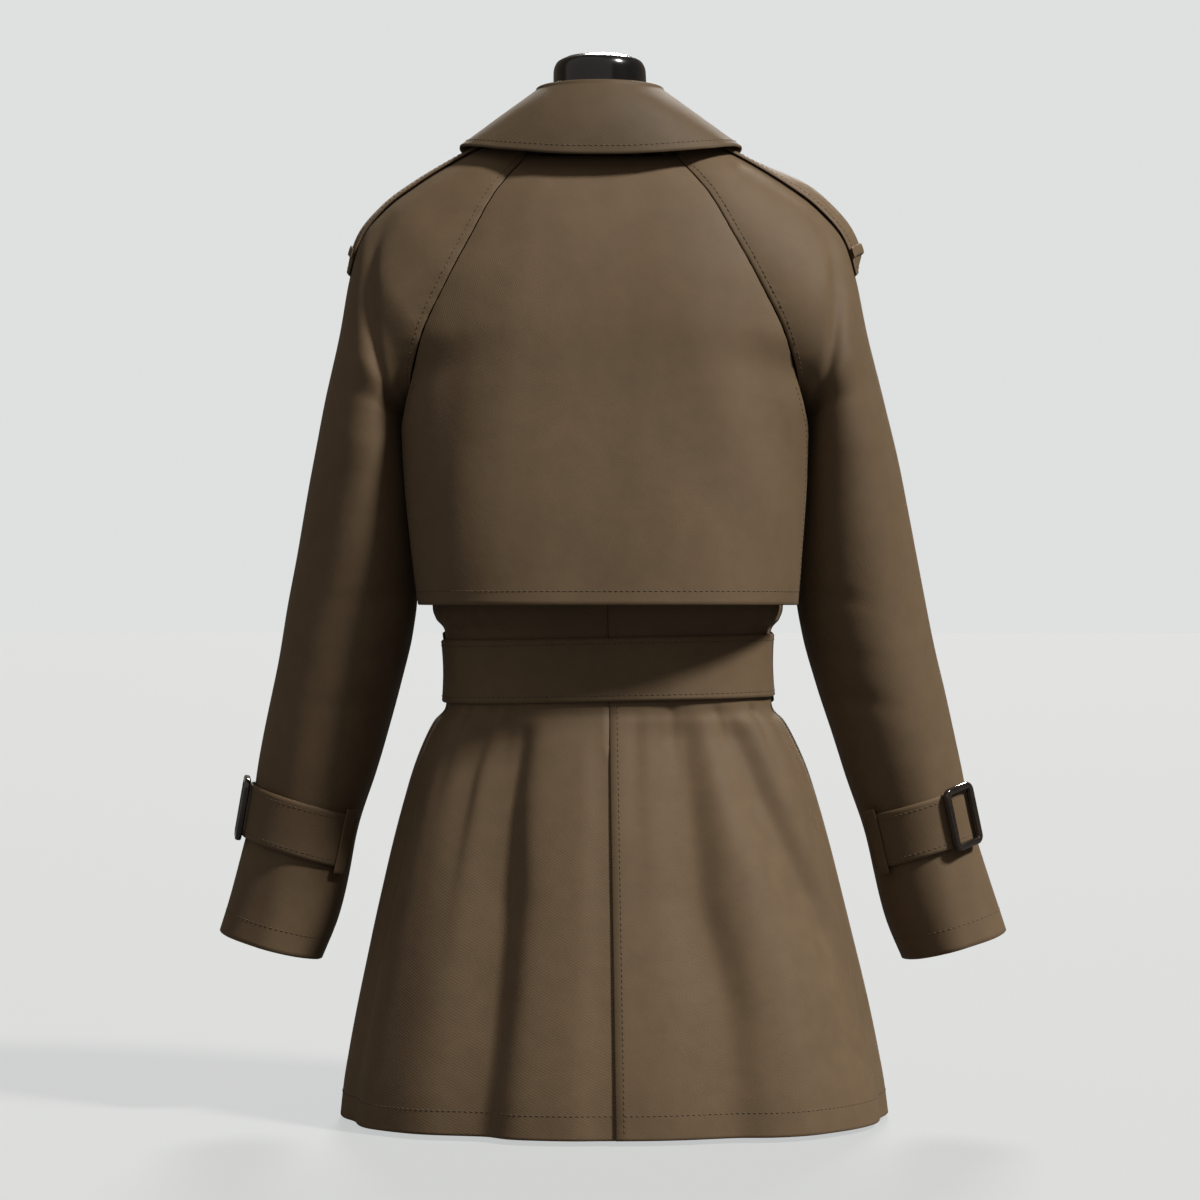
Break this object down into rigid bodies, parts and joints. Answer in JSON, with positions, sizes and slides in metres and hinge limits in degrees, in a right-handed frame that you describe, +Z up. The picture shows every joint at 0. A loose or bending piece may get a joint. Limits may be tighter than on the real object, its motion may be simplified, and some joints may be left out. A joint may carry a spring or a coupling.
{
  "type": "trench coat on a dress form",
  "caption": "Short belted trench coat in brown gabardine with storm shield, raglan sleeves and cuff straps, on a limbless gloss black dress form.",
  "frame": {"origin": "middle of the dress form's flat base, on the floor", "axes": "+Z up; the coat's front faces -Y; +X is the wearer's left"},
  "size_m": [0.6263, 0.296, 0.8375],
  "materials": {
    "gabardine": "brown cotton gabardine, fine diagonal twill, soft sheen",
    "form": "gloss black lacquer",
    "buckle": "polished near-black resin",
    "button": "dark brown horn-like resin"
  },
  "bodies": {
    "root": {"torso_form": "form", "back_right": "gabardine", "back_left": "gabardine", "front_right": "gabardine", "front_left": "gabardine", "storm_shield": "gabardine", "sleeve_left_back": "gabardine", "sleeve_right_back": "gabardine", "sleeve_left_front": "gabardine", "sleeve_right_front": "gabardine", "collar_fall": "gabardine", "collar_stand": "gabardine", "lapel_right": "gabardine", "lapel_left": "gabardine", "belt": "gabardine", "belt_tail": "gabardine", "belt_loop_left": "gabardine", "belt_loop_right": "gabardine", "belt_buckle": "buckle", "cuff_strap_left": "gabardine", "cuff_loop_left": "gabardine", "cuff_buckle_left": "buckle", "cuff_strap_right": "gabardine", "cuff_loop_right": "gabardine", "cuff_buckle_right": "buckle", "epaulette_left": "gabardine", "epaulette_loop_left": "gabardine", "epaulette_right": "gabardine", "epaulette_loop_right": "gabardine", "button_top_left": "button", "button_top_right": "button", "button_middle_left": "button", "button_middle_right": "button", "button_low_left": "button", "button_low_right": "button"}
  },
  "joints": []
}
